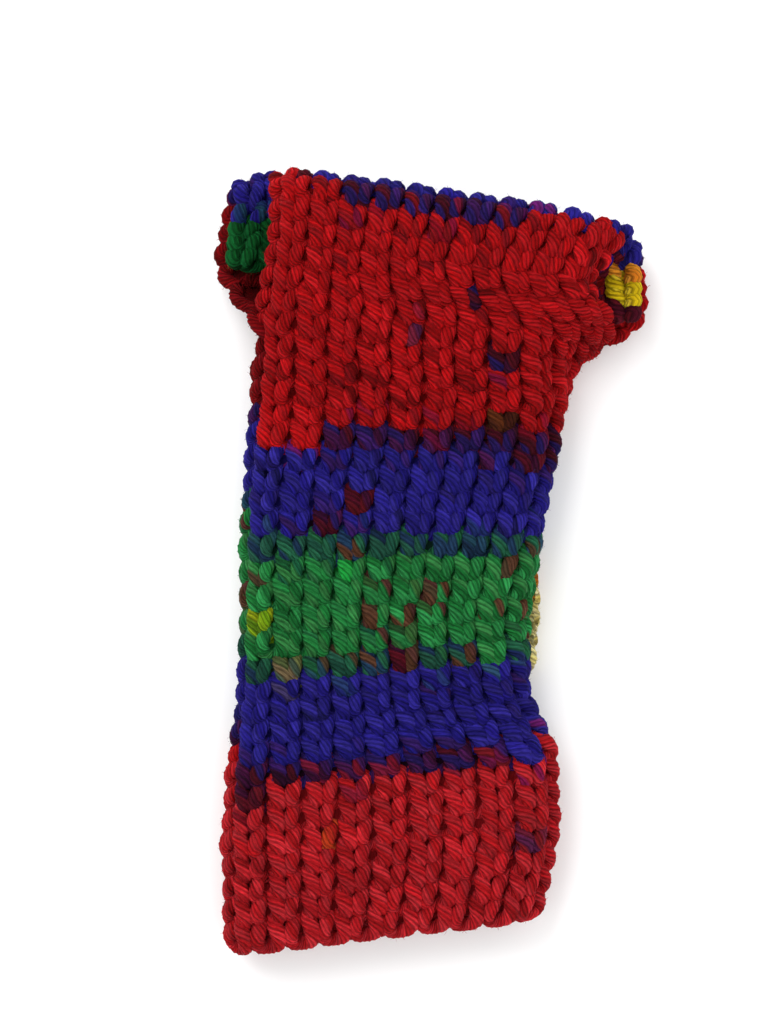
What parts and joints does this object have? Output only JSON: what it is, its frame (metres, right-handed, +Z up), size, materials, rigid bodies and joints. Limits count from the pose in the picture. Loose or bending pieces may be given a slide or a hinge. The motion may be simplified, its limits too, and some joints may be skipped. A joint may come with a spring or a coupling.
{
  "type": "fingerless knitted glove",
  "caption": "Hand-knitted fingerless glove in striped chunky yarn, a seamed tube with a turned-in flared wrist hem and a thumb slit in the side seam, lying flat.",
  "frame": {"origin": "under the middle of the glove, on the surface it lies on", "axes": "+X across the glove towards its side seam, +Y along the hand towards the wrist mouth, +Z up out of the surface"},
  "size_m": [0.111, 0.2058, 0.0318],
  "materials": {
    "red_knit": "matte wool",
    "plum_knit": "matte wool",
    "blue_knit": "matte wool",
    "green_knit": "matte wool",
    "yellow_yarn": "matte wool"
  },
  "bodies": {
    "hand": {"hand_front_panel": "green_knit", "hand_back_panel": "green_knit", "hand_left_fold": "green_knit", "hand_seam_above_thumb": "blue_knit", "hand_seam_below_thumb": "blue_knit", "thumb_slit_front_edge": "green_knit", "thumb_slit_back_edge": "yellow_yarn", "seam_yarn_hand": "yellow_yarn", "wrist_crease_band": "plum_knit", "knuckle_crease_band": "plum_knit"},
    "wrist": {"wrist_front_panel": "red_knit", "wrist_back_panel": "red_knit", "wrist_left_fold": "red_knit", "wrist_seam_side": "red_knit", "brim_front": "blue_knit", "brim_back": "blue_knit", "hem_front_facing": "green_knit", "hem_back_facing": "green_knit", "seam_yarn_wrist": "yellow_yarn"},
    "fingers": {"finger_front_panel": "red_knit", "finger_back_panel": "red_knit", "finger_left_fold": "red_knit", "finger_seam_side": "red_knit", "cast_on_edge_front": "red_knit", "cast_on_edge_back": "red_knit", "seam_yarn_fingers": "yellow_yarn"}
  },
  "joints": [
    {"name": "wrist_bend", "type": "hinge", "parent": "hand", "child": "wrist", "pos_m": [0, 0.032, 0.011], "axis": [1, 0, 0], "range_deg": [-30, 30], "deforming": ["wrist_crease_band"]},
    {"name": "knuckle_bend", "type": "hinge", "parent": "hand", "child": "fingers", "pos_m": [0, -0.048, 0.011], "axis": [1, 0, 0], "range_deg": [-30, 30], "deforming": ["knuckle_crease_band"]}
  ]
}
